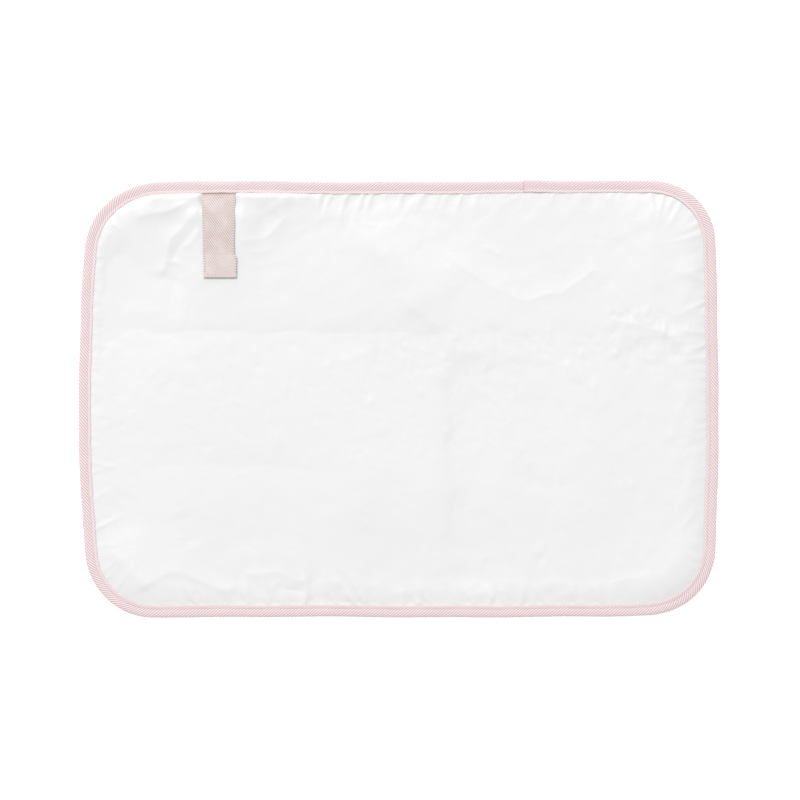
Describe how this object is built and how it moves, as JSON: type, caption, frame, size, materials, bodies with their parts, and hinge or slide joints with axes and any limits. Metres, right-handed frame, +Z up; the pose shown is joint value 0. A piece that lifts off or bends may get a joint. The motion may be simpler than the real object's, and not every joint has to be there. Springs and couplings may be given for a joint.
{
  "type": "changing pad",
  "caption": "Folding padded changing mat with a wipe-clean face, bound edge, rounded corners and a webbing closing tab.",
  "frame": {"origin": "centre of the bounding box, on the table under the opened mat", "axes": "+X along the long side, +Y towards the edge with the closing tab, +Z up out of the wipe-clean face"},
  "size_m": [0.6, 0.409, 0.0088],
  "materials": {
    "laminate": "satin",
    "backing": "matte",
    "wadding": "matte",
    "striped_tape": "matte",
    "thread": "satin",
    "webbing": "matte",
    "hook": "satin",
    "loop": "matte"
  },
  "bodies": {
    "middle_panel": {"front_cover_middle": "laminate", "wadding_middle": "wadding", "back_cover_middle": "backing", "binding_left": "striped_tape", "binding_right": "striped_tape", "binding_thread_middle": "thread", "loop_patch": "loop", "loop_patch_thread": "thread"},
    "upper_panel": {"front_cover_upper": "laminate", "wadding_upper": "wadding", "back_cover_upper": "backing", "binding_upper": "striped_tape", "binding_thread_upper": "thread", "tab_sewn_end": "webbing"},
    "lower_panel": {"front_cover_lower": "laminate", "wadding_lower": "wadding", "back_cover_lower": "backing", "binding_lower": "striped_tape", "binding_thread_lower": "thread"},
    "closing_tab": {"tab_webbing": "webbing", "hook_patch": "hook", "hook_patch_thread": "thread"}
  },
  "joints": [
    {"name": "lower_fold", "type": "hinge", "parent": "middle_panel", "child": "lower_panel", "pos_m": [0, -0.068, 0.0068], "axis": [-1, 0, 0], "range_deg": [0, 179.5]},
    {"name": "upper_fold", "type": "hinge", "parent": "middle_panel", "child": "upper_panel", "pos_m": [0, 0.068, 0.0114], "axis": [1, 0, 0], "range_deg": [0, 179.5]},
    {"name": "tab_fold", "type": "hinge", "parent": "upper_panel", "child": "closing_tab", "pos_m": [-0.168, 0.1917, 0.005], "axis": [-1, 0, 0], "range_deg": [0, 179.5]}
  ]
}
